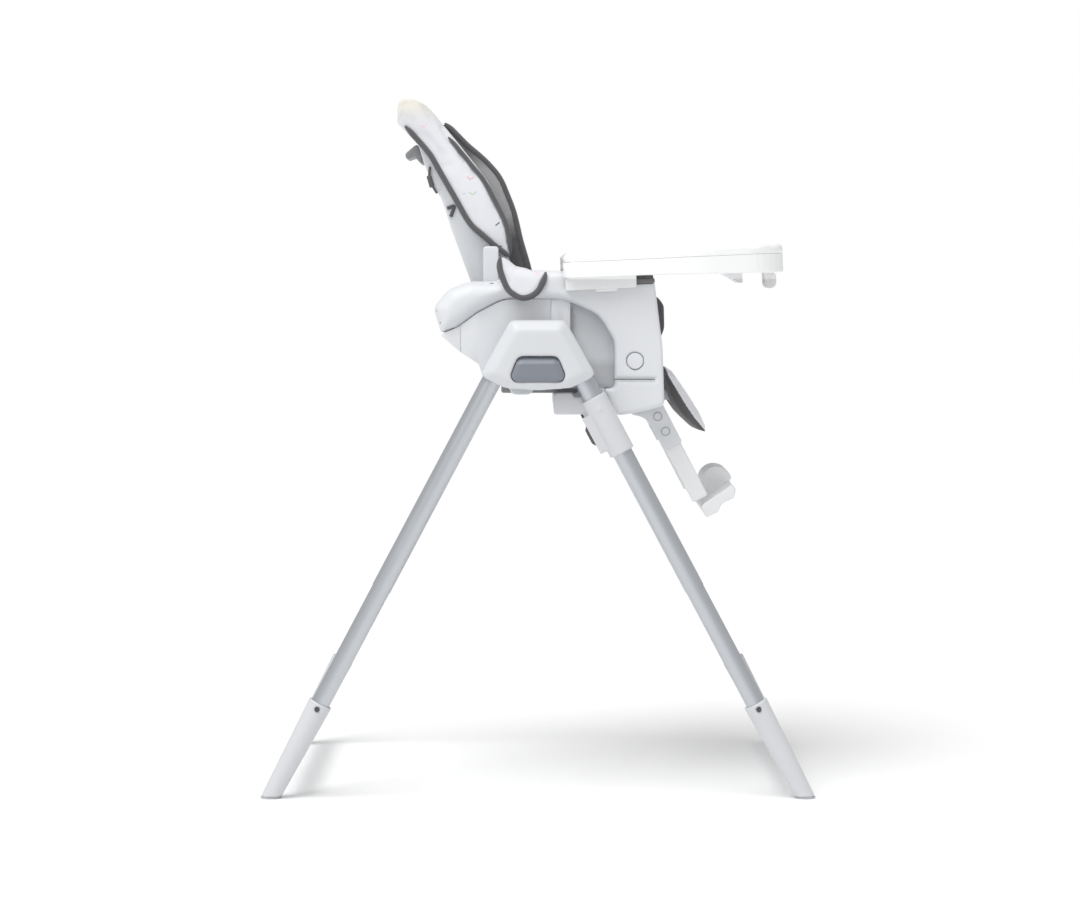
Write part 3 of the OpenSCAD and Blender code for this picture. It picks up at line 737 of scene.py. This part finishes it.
def rounded_block(name, centre, size, turn=0.0, bevel=0.0015):
    """A small moulded block, turned about the Y axis through its centre."""
    bm = bmesh.new()
    bmesh.ops.create_cube(bm, size=1.0)
    bmesh.ops.scale(bm, vec=size, verts=bm.verts)
    bmesh.ops.rotate(bm, cent=(0, 0, 0), matrix=Matrix.Rotation(turn, 3, "Y"), verts=bm.verts)
    bmesh.ops.translate(bm, vec=centre, verts=bm.verts)
    mesh = bpy.data.meshes.new(name)
    bm.to_mesh(mesh)
    bm.free()
    obj = new_object(name, mesh)
    edge = obj.modifiers.new("bevel", "BEVEL")
    edge.width = bevel
    edge.segments = 3
    return settle(obj)


# An edge gets a rim where its faces turn by more than this; a face this large stays flat.
RIM_ANGLE, BROAD_FACE = 0.9, 0.0002
# How far below the tray's top the underside of its base lies, at the least and at the most.
TRAY_DEPTHS = (0.030, 0.046)
TRAY_UP = Vector(JOINTS["tray_top_lift"]["axis"])
TRAY_TOP = max(v.co.dot(TRAY_UP) for v in frame["nodes"]["tray_top"].data.vertices)
# The armrest's edge radius, from its rear part to its front part.
ARMREST_FROM_TO, ARMREST_RADII = (-0.03, 0.07), (0.024, 0.006)
# The fold button stands proud of the hub from here out, and slopes away above the crease.
BUTTON_PROUD, BUTTON_CREASE, BUTTON_SLOPE = 0.2965, 0.657, 0.55
# The groove in the casing under the leg-rest button: where it runs forward, and its height.
GROOVE_FROM_TO, GROOVE_HEIGHT = (0.1155, 0.1770), 0.6319

dress_cad()
for side, sign in SIDES.items():
    casing = "seat_side_" + side
    face = outer_face(casing, sign)
    moulded(casing, 0.002, 5, (face, outline(casing, face), casing_radius))
    moulded("hub_cover_" + side, 0.0015, 38)
    bevelled("side_panel_" + side, 0.0006, "panel_plastic")
    press_ridge(moulded("fold_button_" + side, 0.0011, 6))
    for name in ("carriage_", "front_foot_", "rear_foot_"):
        moulded(name + side, 0.0012, 4)
    bevelled("legrest_button_" + side)
    bevelled("height_trigger_" + side)
    seam("casing_seam_" + side, [(x, face + sign * 0.0001, GROOVE_HEIGHT) for x in GROOVE_FROM_TO], "seat")
rimmed("tray_base", bottom_rim, 0.0025)
rimmed("tray_top", top_rim, 0.0060)
moulded("backrest_shell", 0.0016, 5, material="shell_plastic")
moulded("recline_handle", 0.0014, 8, material="handle_grey")
for name in ("footrest", "crotch_post", "tray_latch", "seat_pan"):
    moulded(name, 0.0016, 5)
for name in ("carriage_beam", "calf_board", "hub_inner_plates", "buckle", "buckle_button"):
    bevelled(name)
bevelled("tray_rails", 0.0003, "rail_plastic")
bevelled("recline_bracket", material="handle_grey")
moulded("legrest_frame", 0.0011, 4)

# The rings round the two bosses on each leg rest arm; the arm's top and way down are forward, up.
ARM_LEAN = math.radians(27.5)
ARM_TOP, ARM_DOWN = (0.168, 0.604), (math.sin(ARM_LEAN), -math.cos(ARM_LEAN))
ARM_FACE, BOSS_RADIUS, BOSSES = 0.1508, 0.0063, (0.036, 0.062)
for side, sign in SIDES.items():
    for number, down in enumerate(BOSSES, start=1):
        x, z = (ARM_TOP[k] + ARM_DOWN[k] * down for k in range(2))
        ring = [(x + BOSS_RADIUS * math.cos(t), sign * ARM_FACE, z + BOSS_RADIUS * math.sin(t))
                for t in np.linspace(0, 2 * math.pi, 33)]
        finish_piece(tube("boss_ring_%d_%s" % (number, side), ring, 0.0005), "legrest", "dark_plastic",
                     "handle_grey")


# ---- soft pieces -------------------------------------------------------------------------

def pad(node_name, voxel=0.005, cap=0.008, shrink=0.0):
    """The start of a stuffed pad: the CAD solid remeshed, ready to be blown up as cloth."""
    obj = copy_node(node_name + "_pad", node_name)
    remesh(obj, voxel, 2)
    if shrink:
        points = coords(obj)
        normals = np.array([v.normal for v in obj.data.vertices])
        set_coords(obj, points - normals * shrink)
    obj["cap"] = cap
    return obj


def inflate(pads, pressure=4.0, frames=20):
    """Blows every pad up under its own pressure, as stitched covers over filling."""
    scene = bpy.context.scene
    starts = []
    for obj in pads:
        starts.append(coords(obj))
        made = obj.modifiers.new("cloth", "CLOTH")
        made.settings.use_pressure = True
        made.settings.uniform_pressure_force = pressure
        made.settings.effector_weights.gravity = 0.0
        made.settings.quality = 4
    for number in range(1, frames + 1):
        scene.frame_set(number)
    for obj, start in zip(pads, starts):
        graph = bpy.context.evaluated_depsgraph_get()
        blown = bpy.data.meshes.new_from_object(obj.evaluated_get(graph))
        obj.modifiers.clear()
        obj.data = blown
        moved = coords(obj) - start
        size = np.linalg.norm(moved, axis=1, keepdims=True)
        set_coords(obj, start + moved * np.minimum(1.0, obj["cap"] / np.maximum(size, 1e-9)))
    scene.frame_set(1)


def soften(obj, smooth=3):
    """One subdivision and a light smoothing, after the simulation."""
    finer = obj.modifiers.new("finer", "SUBSURF")
    finer.levels = 1
    finer.render_levels = 1
    calm = obj.modifiers.new("calm", "SMOOTH")
    calm.iterations = smooth
    return settle(obj)


def length_along(points):
    """The length of a line of points up to each of them."""
    return np.concatenate([[0], np.cumsum(np.linalg.norm(np.diff(points, axis=0), axis=1))])


def curve_at(points, share):
    """Points at shares 0..1 of the length along a line of points."""
    points = np.asarray(points, float)
    gone = length_along(points)
    at = np.asarray(share) * gone[-1]
    return np.column_stack([np.interp(at, gone, points[:, k]) for k in range(points.shape[1])])


def smoothed(line, times):
    """The line with each inner point averaged with its neighbours, that many times."""
    for _ in range(times):
        line[1:-1] = (line[:-2] + 2 * line[1:-1] + line[2:]) / 4
    return line


def resample(points, step):
    """The same path with points that far apart, its small kinks averaged away."""
    count = max(3, int(length_along(points)[-1] / step))
    return smoothed(curve_at(points, np.linspace(0, 1, count)), 3)


def run_between(loop, start, end, through):
    """The stretch of a closed outline from start to end that passes nearest to through."""
    loop = curve_at(np.vstack([loop, loop[:1]]), np.linspace(0, 1, 1200))[:-1]

    def nearest(place):
        return int(np.argmin(np.linalg.norm(loop[:, [0, 2]] - np.array(place), axis=1)))
    i, j = nearest(start), nearest(end)
    count = len(loop)
    ahead = [loop[(i + k) % count] for k in range((j - i) % count + 1)]
    back = [loop[(i - k) % count] for k in range((i - j) % count + 1)]

    def closeness(run):
        return min(np.linalg.norm(p[[0, 2]] - np.array(through)) for p in run)
    return np.array(min((ahead, back), key=closeness))


def calf_pillow():
    """The calf pad's cover: two faces sewn together along the seam line, rounded at the sides."""
    rows, columns, squareness = 36, 56, 5
    share = np.linspace(0, 1, rows)
    seam_line, front, under = (curve_at(line, share) for line in (CALF_SEAM, CALF_FRONT, CALF_UNDER))
    across = np.sin(np.linspace(-0.5, 0.5, columns) * math.pi) * CALF_HALF
    full = np.sqrt(np.maximum(1 - np.abs(across / CALF_HALF) ** squareness, 0))
    points, faces = [], []
    for face in (front, under):
        for i in range(rows):
            for y, w in zip(across, full):
                x, z = seam_line[i] + (face[i] - seam_line[i]) * w
                points.append((x, y, z))
    for layer in range(2):
        for i in range(rows - 1):
            for j in range(columns - 1):
                k = layer * rows * columns + i * columns + j
                ring = (k, k + 1, k + columns + 1, k + columns)
                faces.append(ring if layer == 0 else ring[::-1])
    obj = from_faces("calf_pad_cover", points, faces)
    with opened(obj.data) as bm:
        bmesh.ops.remove_doubles(bm, verts=bm.verts, dist=1e-5)
        bmesh.ops.recalc_face_normals(bm, faces=bm.faces)
    remesh(obj, 0.004, 1)
    obj["cap"] = 0.003
    return obj


def two_tone(obj, line, materials):
    """Gives each face the first material below the line, in the side view, and the second above."""
    fine = curve_at(line, np.linspace(0, 1, 200))
    along = np.gradient(fine, axis=0)
    obj.data.materials.clear()
    for name in materials:
        obj.data.materials.append(MATERIALS[name])
    for face in obj.data.polygons:
        c = np.array((face.center.x, face.center.z))
        k = int(np.argmin(np.linalg.norm(fine - c, axis=1)))
        side = along[k][0] * (c - fine[k])[1] - along[k][1] * (c - fine[k])[0]
        face.material_index = 1 if side > 0 else 0


def sew(obj, lines, depth, width, facing):
    """Presses stitched channels into the side of a pad that faces a direction."""
    points = coords(obj)
    normals = np.array([v.normal for v in obj.data.vertices])
    facing = np.array(facing)
    toward = normals @ facing
    best = np.full(len(points), 1e9)
    for start, end in lines:
        a, b = np.array(start), np.array(end)
        flat_points = points - np.outer((points - a) @ facing, facing)
        d = (b - a) - np.dot(b - a, facing) * facing
        t = np.clip(((flat_points - a) @ d) / float(d @ d), 0, 1)
        best = np.minimum(best, np.linalg.norm(flat_points - a - t[:, None] * d, axis=1))
    push = depth * np.exp(-(best / width) ** 2) * np.clip(toward, 0, 1)
    set_coords(obj, points - normals * push[:, None])


# The calf pad in the side view, from its upper end to its tip: forward, up.
CALF_SEAM = [(0.1955, 0.652), (0.2015, 0.634), (0.2150, 0.612), (0.2300, 0.5865), (0.2445, 0.5665),
             (0.2620, 0.5455)]
CALF_FRONT = [(0.1955, 0.652), (0.2100, 0.6337), (0.2317, 0.6022), (0.2490, 0.5747), (0.2620, 0.5455)]
CALF_UNDER = [(0.1955, 0.652), (0.1963, 0.6317), (0.2041, 0.5983), (0.2199, 0.5747), (0.2415, 0.5545),
              (0.2620, 0.5455)]
CALF_HALF = 0.139
# The insert lies back by 21.3 degrees; its cross channels are forward, up.
INSERT_LEAN = math.radians(21.3)
INSERT_FACE = (math.cos(INSERT_LEAN), 0.0, math.sin(INSERT_LEAN))
INSERT_LEVELS = [(-0.040, 0.745), (-0.062, 0.805), (-0.088, 0.865), (-0.110, 0.925), (-0.135, 0.985)]
INSERT_SEAMS = ([((x, -0.082, z), (x, 0.082, z)) for x, z in INSERT_LEVELS]
                + [((-0.02, y, 0.70), (-0.15, y, 1.02)) for y in (-0.088, 0.088)])
CUSHION_SEAMS = ([((x, -0.125, 0.65), (x, 0.125, 0.65)) for x in (0.050, 0.088, 0.126)]
                 + [((0.03, y, 0.65), (0.15, y, 0.65)) for y in (-0.075, 0.075)])
UPWARD = (0.0, 0.0, 1.0)

back_pad = pad("back_pad", 0.005, 0.006, 0.003)
insert = pad("back_insert", 0.004, 0.004, 0.002)
cushion = pad("seat_cushion", 0.005, 0.006, 0.003)
wings = {side: pad("hip_wing_" + side, 0.0035, 0.003, 0.001) for side in SIDES}
calf = calf_pillow()
inflate([back_pad, insert, cushion, calf, *wings.values()])

soften(back_pad, 5)
soften(insert, 4)
sew(insert, INSERT_SEAMS, 0.004, 0.004, INSERT_FACE)
soften(cushion, 4)
sew(cushion, CUSHION_SEAMS, 0.004, 0.0045, UPWARD)
finish_piece(back_pad, "backrest", "printed_fabric", "back_fabric", ["back_pad"])
finish_piece(insert, "backrest", "dark_fabric", "insert_fabric", ["back_insert"])
finish_piece(cushion, "seat", "printed_fabric", replaced=["seat_cushion"])
for side, wing in wings.items():
    finish_piece(soften(wing), "seat", "printed_fabric", replaced=["hip_wing_" + side])
soften(calf)
two_tone(calf, CALF_SEAM, ["dark_fabric", "printed_fabric"])
finish_blend(calf, "dark_fabric", ["calf_pad"])


def hug(path, pad_obj, radius):
    """Brings a piping's path onto the pad's own surface, half sunk into it."""
    tree = BVHTree.FromPolygons([v.co.copy() for v in pad_obj.data.vertices],
                                [tuple(face.vertices) for face in pad_obj.data.polygons])
    placed = []
    for point in path:
        near, normal, _, _ = tree.find_nearest(Vector(point))
        goal = near + normal * radius * 0.3
        placed.append(((point[0] + goal.x) / 2, goal.y, (point[2] + goal.z) / 2))
    return smoothed(np.array(placed), 4)


# Points on the outlines where a piping starts, ends and passes: forward, up.
WING_PIPING = ((-0.206, 1.015), (-0.040, 0.817), (-0.104, 0.864))
WING_FRONT_PIPING = ((-0.134, 1.004), (-0.040, 0.822), (-0.078, 0.934))
INSERT_PIPING = ((-0.143, 1.027), (0.003, 0.700), (-0.037, 0.893))
HIP_PIPING = ((-0.0600, 0.822), (0.016, 0.796), (-0.022, 0.750))
PIPINGS = [("wing_piping_", "back_pad", WING_PIPING, 0.0045, "backrest"),
           ("wing_edge_", "back_pad", WING_FRONT_PIPING, 0.0035, "backrest"),
           ("insert_piping_", "back_insert", INSERT_PIPING, 0.0042, "backrest"),
           ("hip_piping_", "hip_wing_", HIP_PIPING, 0.0048, "seat")]
for side, sign in SIDES.items():
    pad_of = {"back_pad": back_pad, "back_insert": insert, "hip_wing_": wings[side]}
    for name, source, stretch, radius, body in PIPINGS:
        node_name = source + side if source.endswith("_") else source
        rim = outline(node_name, outer_face(node_name, sign))
        path = hug(resample(run_between(rim, *stretch), 0.005), pad_of[source], radius)
        finish_piece(tube(name + side, path, radius, 3), body, "dark_fabric", "piping")


# ---- harness and straps --------------------------------------------------------------------

def ribbon(name, points, widths, width=0.026, thick=0.0022, step=0.004):
    """A flat strap along points; widths gives the direction across it at its two ends."""
    path = resample(points, step)
    count = len(path)
    along = np.gradient(path, axis=0)
    along /= np.linalg.norm(along, axis=1, keepdims=True)
    share = np.linspace(0, 1, count)[:, None]
    side = np.array(widths[0]) * (1 - share) + np.array(widths[1]) * share
    side -= along * np.sum(side * along, axis=1, keepdims=True)
    side /= np.linalg.norm(side, axis=1, keepdims=True)
    up = np.cross(along, side)
    # Section of the strap: rounded edges, and a shallow rib along each stitched border.
    half, t = width / 2, thick / 2
    section = [(-half, 0), (-half + t, t), (-half + 3 * t, t * 1.3), (-half + 5 * t, t), (0, t * 0.9),
               (half - 5 * t, t), (half - 3 * t, t * 1.3), (half - t, t), (half, 0), (half - t, -t),
               (0, -t), (-half + t, -t)]
    verts = [path[i] + side[i] * a + up[i] * b for i in range(count) for a, b in section]
    n = len(section)
    faces = [(i * n + j, i * n + (j + 1) % n, (i + 1) * n + (j + 1) % n, (i + 1) * n + j)
             for i in range(count - 1) for j in range(n)]
    faces += [tuple(range(n)), tuple(range((count - 1) * n, count * n))]
    return from_faces(name, verts, faces)


strap_low, strap_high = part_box("shoulder_straps")
buckle_low, buckle_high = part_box("buckle")
cushion_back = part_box("seat_cushion")[0][0]
lap_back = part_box("lap_harness")[0][0]
ACROSS, FORWARD = (0.0, 1.0, 0.0), (1.0, 0.0, 0.0)
NARROW = 0.024
# The shoulder strap's points: how many, which carries the slider, and which the pad covers.
STRAP_POINTS, SLIDER_POINT, COVERED = 14, 9, slice(1, 8)
STRAP_BOW = 0.006
# How far out the lap strap starts, beside the pan's wall.
HIP_OUT = 0.1475


def shoulder_strap(side, sign):
    """The strap down the back with its slider and pad, and its free end, which runs to the buckle."""
    y = sign * (strap_high[1] - 0.013)
    top = (strap_low[0] - 0.002, y, strap_high[2] + 0.004)
    low = (strap_high[0], y, strap_low[2])
    line = [(top[0] + (low[0] - top[0]) * t + STRAP_BOW * math.sin(math.pi * t), y + sign * 0.004 * t,
             top[2] + (low[2] - top[2]) * t) for t in np.linspace(0, 1, STRAP_POINTS)]
    upper = ribbon("shoulder_strap_" + side, line, (ACROSS, ACROSS))
    finish_piece(upper, "backrest", "webbing", replaced=["shoulder_straps"] if sign > 0 else ())
    into = (buckle_low[0] + 0.006, sign * 0.010, buckle_low[2] + 0.008)
    drape = [low, (low[0] + 0.020, y * 0.93, low[2] - 0.022), (low[0] + 0.045, y * 0.62, into[2] + 0.010),
             (into[0] - 0.012, y * 0.32, into[2] + 0.004), into]
    lower = ribbon("shoulder_strap_end_" + side, drape, (ACROSS, ACROSS), NARROW)
    finish_blend(lower, "webbing")
    held = line[SLIDER_POINT]
    slider = rounded_block("shoulder_slider_" + side, (held[0] + 0.001, y, held[2]),
                           (0.006, 0.034, 0.030), math.radians(-21))
    finish_piece(slider, "backrest", "dark_plastic")
    covered = [(p[0] + 0.0030, p[1], p[2]) for p in line[COVERED]]
    cover = ribbon("shoulder_pad_" + side, covered, (ACROSS, ACROSS), 0.042, 0.0075)
    finish_piece(cover, "backrest", "dark_fabric", "piping")


def lap_strap(side, sign):
    """The strap from the pan's wall to the buckle, with its slider."""
    x = lap_back + 0.0125
    line = [(x - 0.018, sign * HIP_OUT, 0.6595), (x - 0.012, sign * 0.110, 0.6600),
            (x - 0.004, sign * 0.070, 0.6610), (x, sign * 0.024, buckle_low[2] + 0.006)]
    belt = ribbon("lap_strap_" + side, line, (FORWARD, FORWARD), NARROW)
    finish_piece(belt, "seat", "webbing", replaced=["lap_harness"] if sign > 0 else ())
    slider = rounded_block("lap_slider_" + side, (x - 0.008, sign * 0.090, 0.6625), (0.032, 0.020, 0.006))
    finish_piece(slider, "seat", "dark_plastic")


def seat_back_flap():
    """The fabric that closes the gap between the cushion and the foot of the back."""
    rise = [(cushion_back + 0.026, 0, 0.6485), (cushion_back + 0.004, 0, 0.6500), (0.000, 0, 0.6560),
            (-0.009, 0, 0.6680), (-0.014, 0, 0.6850), (-0.018, 0, 0.6980)]
    flap = ribbon("seat_back_flap", rise, (ACROSS, ACROSS), 0.232, 0.008)
    finish_blend(flap, "printed_fabric")


def crotch_strap():
    line = [(buckle_high[0] - 0.004, 0, buckle_low[2] + 0.006), (buckle_high[0] + 0.012, 0, 0.6600),
            (buckle_high[0] + 0.026, 0, 0.6560)]
    finish_piece(ribbon("crotch_strap", line, (ACROSS, ACROSS), NARROW), "seat", "webbing")


for side, sign in SIDES.items():
    shoulder_strap(side, sign)
    lap_strap(side, sign)
seat_back_flap()
crotch_strap()


# The strap loop that shows on each side of the shell, and the adjuster hanging behind it: forward, up.
LOOP_MARK = [(-0.1400, 0.8922), (-0.1278, 0.8968), (-0.1345, 0.8795)]
ADJUSTER = [(-0.1662, 0.9560), (-0.1680, 0.9410), (-0.1625, 0.9263), (-0.1553, 0.9153)]
LOOP_OUT, ADJUSTER_OUT = 0.1308, 0.1328
for side, sign in SIDES.items():
    mark = resample([(x, sign * LOOP_OUT, z) for x, z in LOOP_MARK], 0.002)
    finish_piece(tube("strap_loop_" + side, mark, 0.0028), "backrest", "webbing", "piping")
    hang = resample([(x, sign * ADJUSTER_OUT, z) for x, z in ADJUSTER], 0.003)
    finish_piece(tube("adjuster_strap_" + side, hang, 0.0019), "backrest", "webbing", "piping")
    grip = rounded_block("adjuster_grip_" + side, (-0.1655, sign * ADJUSTER_OUT, 0.9335),
                         (0.0075, 0.006, 0.019), math.radians(-16), 0.002)
    finish_piece(grip, "backrest", "dark_plastic")
